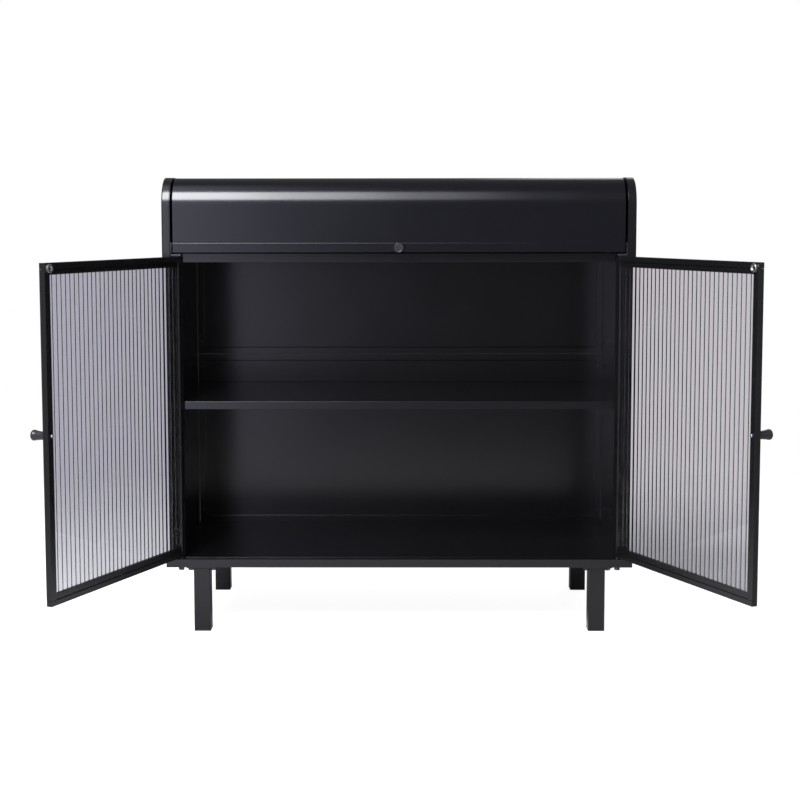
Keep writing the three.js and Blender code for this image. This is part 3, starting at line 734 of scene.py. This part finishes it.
reeded_glass = make_glass()
for side, sign in SIDES:
    place = door_place(side, sign)
    glass_low, glass_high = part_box(f"{side}_door_glass")
    near = STILE_WIDTH - GLASS_HOLD
    far = DOOR_WIDTH - STILE_WIDTH + GLASS_HOLD
    reeds = round((far - near) / REED_PITCH)
    pitch = (far - near) / reeds
    outline = []
    for step in range(reeds * REED_STEPS + 1):
        share = (step % REED_STEPS) / REED_STEPS * 2 - 1
        outline.append((near + pitch * step / REED_STEPS, GLASS_FRONT + REED_RISE * share * share))
    mesh = bmesh.new()
    front, back = [], []
    for x, y in outline:
        front.append([mesh.verts.new(place @ Vector((x, y, z))) for z in (glass_low.z, glass_high.z)])
        back.append([mesh.verts.new(place @ Vector((x, GLASS_BACK, z))) for z in (glass_low.z, glass_high.z)])
    for step in range(len(outline) - 1):
        for line in (front, back):
            mesh.faces.new((line[step][0], line[step + 1][0], line[step + 1][1], line[step][1]))
        for end in (0, 1):
            mesh.faces.new((front[step][end], front[step + 1][end], back[step + 1][end], back[step][end]))
    for end in (0, -1):
        mesh.faces.new((front[end][0], front[end][1], back[end][1], back[end][0]))
    pane = f"{side}_door_pane"
    make_piece(pane, mesh, reeded_glass, f"{side}_door", (f"{side}_door_glass",), 40)

# ---------- door knobs, screws and magnets ----------
# Each door has the same turned knob on its outer face, screwed from inside. A nickel plated ring magnet sits
# on the inner face near the top of the free edge, held by a small dark screw through its middle.
KNOB_EDGE = 0.0100
FACE_GAP = 0.0003
MAGNET_RADIUS = 0.0076
MAGNET_THICKNESS = 0.0046
MAGNET_EDGE = 0.010
MAGNET_DROP = 0.0095
MAGNET_EDGE_BREAK = 0.0005
MAGNET_CONE_DEPTH = 0.0022
NICKEL_BRIGHT = (0.42, 0.42, 0.42, 1)
NICKEL_DULL = (0.26, 0.26, 0.27, 1)
nickel = plated("bright_nickel_plate", NICKEL_BRIGHT, NICKEL_DULL, roughness=0.34, metallic=1.0)
for side, sign in SIDES:
    place = door_place(side, sign)
    rail_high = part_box(f"{side}_door_top_rail")[1]
    middle = (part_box(f"{side}_door_bottom_rail")[0].z + rail_high.z) / 2
    knob_x = DOOR_WIDTH - KNOB_EDGE
    base = place @ Matrix.Translation((knob_x, -FACE_GAP, middle)) @ Matrix.Rotation(math.pi / 2, 4, "X")
    add_knob(f"{side}_door_knob_turned", f"{side}_door_knob", base, knob_length, f"{side}_door")
    seat = place @ Vector((knob_x, DOOR_THICKNESS + FACE_GAP, middle))
    inward = place.to_3x3() @ Vector((0, 1, 0))
    add_knob_screw(f"{side}_door_knob_pan_head", f"{side}_door_knob_screw", seat, inward, f"{side}_door")

    mesh = bmesh.new()
    seat = place @ Vector((DOOR_WIDTH - MAGNET_EDGE, DOOR_THICKNESS + FACE_GAP, rail_high.z - MAGNET_DROP))
    bore = MAGNET_RADIUS * 0.34
    cone = MAGNET_RADIUS * 0.62
    lathe(
        mesh,
        [
            (bore, 0),
            (MAGNET_RADIUS - MAGNET_EDGE_BREAK, 0),
            (MAGNET_RADIUS, MAGNET_EDGE_BREAK),
            (MAGNET_RADIUS, MAGNET_THICKNESS - MAGNET_EDGE_BREAK),
            (MAGNET_RADIUS - MAGNET_EDGE_BREAK, MAGNET_THICKNESS),
            (cone, MAGNET_THICKNESS),
            (bore, MAGNET_THICKNESS - MAGNET_CONE_DEPTH),
        ],
        facing(seat, inward),
        64,
    )
    make_piece(f"{side}_door_magnet_ring", mesh, nickel, f"{side}_door", (f"{side}_door_magnet",))
    mesh = bmesh.new()
    screw_seat = seat + inward.normalized() * (MAGNET_THICKNESS - 0.0024)
    head = pan_head(bore * 0.96, 0.0012, 0.0008)
    lathe(mesh, head, facing(screw_seat, inward), 48, RECESS_START)
    make_piece(f"{side}_door_magnet_screw", mesh, black_plate, f"{side}_door")

# ---------- studio ----------
# The cabinet stands on a pale floor that fades into a white surround. Three soft strips side by side hang in
# front, above and mostly to the left, a faint panel fills from the right, and another lights the back.
FLOOR_HALF = 6.0
FLOOR_PALE = (0.62, 0.62, 0.625, 1)
FLOOR_GREYER = (0.57, 0.57, 0.57, 1)
FLOOR_GLOW = (0.9, 0.9, 0.9, 1)
CAMERA_PLACE = (0.0168, -2.9124, 0.8076)
CAMERA_TURN = (math.radians(84.68), math.radians(0.06), math.radians(0.36))
CAMERA_LENS = 69.0
CAMERA_SENSOR = 36
CAMERA_SHIFT = (0.0025, -0.0536)
FLOOR_DROP = 0.0005


def make_floor():
    material, tree, shader = new_material("pale_floor")
    place = tree.nodes.new("ShaderNodeTexCoord").outputs["Object"]
    away = add_node(tree, "ShaderNodeVectorMath", operation="LENGTH")
    tree.links.new(place, away.inputs[0])
    specks = add_noise(tree, place, 60.0, 4.0)
    tree.links.new(
        add_mix(tree, add_range(tree, specks, (0.3, 0.7), (0.0, 1.0)), FLOOR_PALE, FLOOR_GREYER),
        shader.inputs["Base Color"],
    )
    tree.links.new(add_range(tree, away.outputs["Value"], (0.7, 2.2), (0.85, 0.0)), shader.inputs["Alpha"])
    shader.inputs["Roughness"].default_value = 0.7
    shader.inputs["Specular IOR Level"].default_value = 0.0
    shader.inputs["Emission Color"].default_value = FLOOR_GLOW
    seen = tree.nodes.new("ShaderNodeLightPath").outputs["Is Camera Ray"]
    tree.links.new(seen, shader.inputs["Emission Strength"])
    return material


mesh = bmesh.new()
bmesh.ops.create_grid(mesh, x_segments=24, y_segments=24, size=FLOOR_HALF)
floor_data = bpy.data.meshes.new("floor")
mesh.to_mesh(floor_data)
mesh.free()
floor_data.materials.append(make_floor())
floor = bpy.data.objects.new("floor", floor_data)
bpy.context.scene.collection.objects.link(floor)
floor.location = (0, 0, -FLOOR_DROP)


def add_panel_light(name, place, target, width, height, power, tint):
    data = bpy.data.lights.new(name, "AREA")
    data.shape = "RECTANGLE"
    data.size = width
    data.size_y = height
    data.energy = power
    data.color = tint
    light = bpy.data.objects.new(name, data)
    bpy.context.scene.collection.objects.link(light)
    light.location = place
    light.rotation_euler = (Vector(target) - Vector(place)).to_track_quat("-Z", "Y").to_euler()
    return light


KEY_STRIPS = ((-1.40, 1.70, 21.0), (-0.33, 0.44, 9.0), (0.10, 0.42, 2.4))
KEY_HEIGHT = 1.7
KEY_TINT = (0.96, 0.97, 1.0)
FILL_TINT = (1.0, 0.98, 0.97)
BACK_TINT = (0.97, 0.98, 1.0)
for index, (x, width, glow) in enumerate(KEY_STRIPS):
    power = glow * math.pi * width * KEY_HEIGHT
    add_panel_light(
        f"key_strip_{index}", (x, -2.1, 2.75), (x, 0.2, 0.75), width, KEY_HEIGHT, power, KEY_TINT
    )
add_panel_light("fill_panel", (3.2, -1.0, 1.6), (0.0, 0.1, 0.5), 1.6, 1.8, 3, FILL_TINT)
back_light = add_panel_light(
    "back_panel_light", (1.6, 3.4, 2.6), (0.0, 0.3, 0.5), 2.4, 2.0, 16, BACK_TINT
)
back_light.visible_camera = False
back_light.visible_transmission = False

# The camera sees a white surround. Reflections see a bright band in front and greys elsewhere, and what shows
# through the glass is an even grey.
world = bpy.data.worlds.new("surround")
bpy.context.scene.world = world
world.use_nodes = True
tree = world.node_tree
background = tree.nodes["Background"]
direction = tree.nodes.new("ShaderNodeTexCoord").outputs["Generated"]
axes = tree.nodes.new("ShaderNodeSeparateXYZ")
tree.links.new(direction, axes.inputs["Vector"])


def add_ramp(tree, value, stops):
    """Brightness by place, from (place, colour) stops between 0 and 1."""
    ramp = tree.nodes.new("ShaderNodeValToRGB")
    tree.links.new(value, ramp.inputs["Fac"])
    points = ramp.color_ramp.elements
    points[0].position, points[0].color = stops[0]
    points[1].position, points[1].color = stops[-1]
    for place, color in stops[1:-1]:
        points.new(place).color = color
    return ramp.outputs["Color"]


def grey(level, blue=1.0):
    return (level, level, level * blue, 1)


sideways = add_range(tree, axes.outputs["X"], (-1.0, 1.0), (0.0, 1.0))
FRONT_STOPS = (
    (0.0, grey(0.30, 1.1)), (0.25, grey(0.45, 1.1)), (0.36, grey(1.5, 1.2)), (0.41, grey(2.4, 1.25)),
    (0.44, grey(0.80, 1.3)), (0.465, grey(0.28, 1.25)), (0.50, grey(0.15, 1.1)), (0.65, grey(0.21, 1.1)),
    (1.0, grey(0.30)),
)
BACK_STOPS = ((0.0, grey(0.22, 1.1)), (0.5, grey(0.20)), (1.0, grey(0.24)))
GLASS_STOPS = ((0.35, (0.42, 0.41, 0.49, 1)), (0.5, (0.56, 0.54, 0.59, 1)), (0.65, (0.60, 0.57, 0.60, 1)))
depth = add_range(tree, axes.outputs["Y"], (-0.15, 0.15), (0.0, 1.0))
reflected = add_mix(
    tree, depth, add_ramp(tree, sideways, FRONT_STOPS), add_ramp(tree, sideways, BACK_STOPS)
)
rays = tree.nodes.new("ShaderNodeLightPath").outputs
through_glass = add_mix(
    tree, rays["Is Transmission Ray"], reflected, add_ramp(tree, sideways, GLASS_STOPS)
)
seen = add_mix(tree, rays["Is Camera Ray"], through_glass, (1.0, 1.0, 1.0, 1))
tree.links.new(seen, background.inputs["Color"])

camera_data = bpy.data.cameras.new("camera")
camera_data.lens = CAMERA_LENS
camera_data.sensor_width = CAMERA_SENSOR
camera_data.shift_x, camera_data.shift_y = CAMERA_SHIFT
camera = bpy.data.objects.new("camera", camera_data)
bpy.context.scene.collection.objects.link(camera)
camera.location = CAMERA_PLACE
camera.rotation_euler = CAMERA_TURN
bpy.context.scene.camera = camera
bpy.context.scene.view_settings.view_transform = "Standard"
